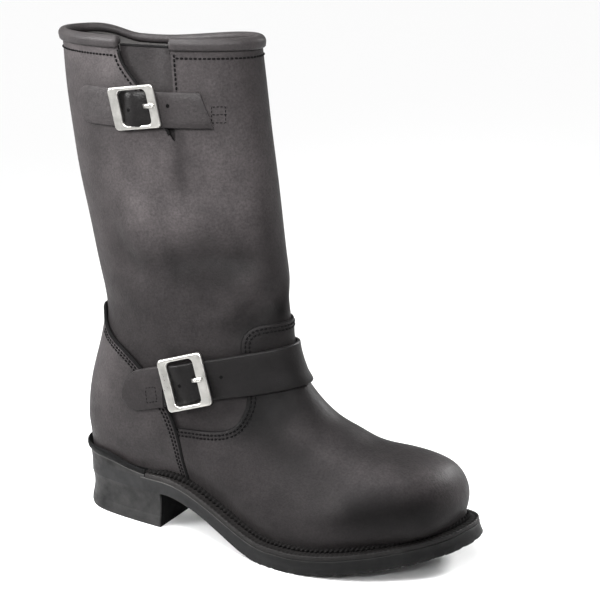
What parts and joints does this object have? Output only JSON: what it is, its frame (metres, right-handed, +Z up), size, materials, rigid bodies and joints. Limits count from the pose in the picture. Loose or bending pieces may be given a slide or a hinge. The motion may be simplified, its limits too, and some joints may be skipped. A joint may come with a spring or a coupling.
{
  "type": "motorcycle boot",
  "caption": "Black leather pull-on motorcycle boot for the right foot, hollow and open at its collar, with buckled instep and shaft straps, a stitched welt and a block heel.",
  "frame": {"origin": "on the floor, on the flat underside of the heel, under the middle of the heel's round back", "axes": "+Z up, +X towards the toe, -Y towards the outer side with the buckles, +Y towards the other foot"},
  "size_m": [0.3131, 0.1183, 0.3493],
  "materials": {
    "leather": "oiled, softly waxed black leather with a fine grain",
    "rubber": "matt black oil-resistant rubber",
    "nickel": "polished nickel with softened edges",
    "insole_board": "plain brown insole leather"
  },
  "bodies": {
    "root": {"upper": "leather", "vamp": "leather", "heel_counter": "leather", "collar_binding": "leather", "gusset": "leather", "back_seam": "leather", "welt": "leather", "instep_strap": "leather", "shaft_strap": "leather", "instep_chape": "leather", "shaft_chape": "leather", "heel_rand": "rubber", "outsole": "rubber", "heel": "rubber", "instep_buckle": "nickel", "instep_buckle_prong": "nickel", "shaft_buckle": "nickel", "shaft_buckle_prong": "nickel", "insole": "insole_board"}
  },
  "joints": []
}
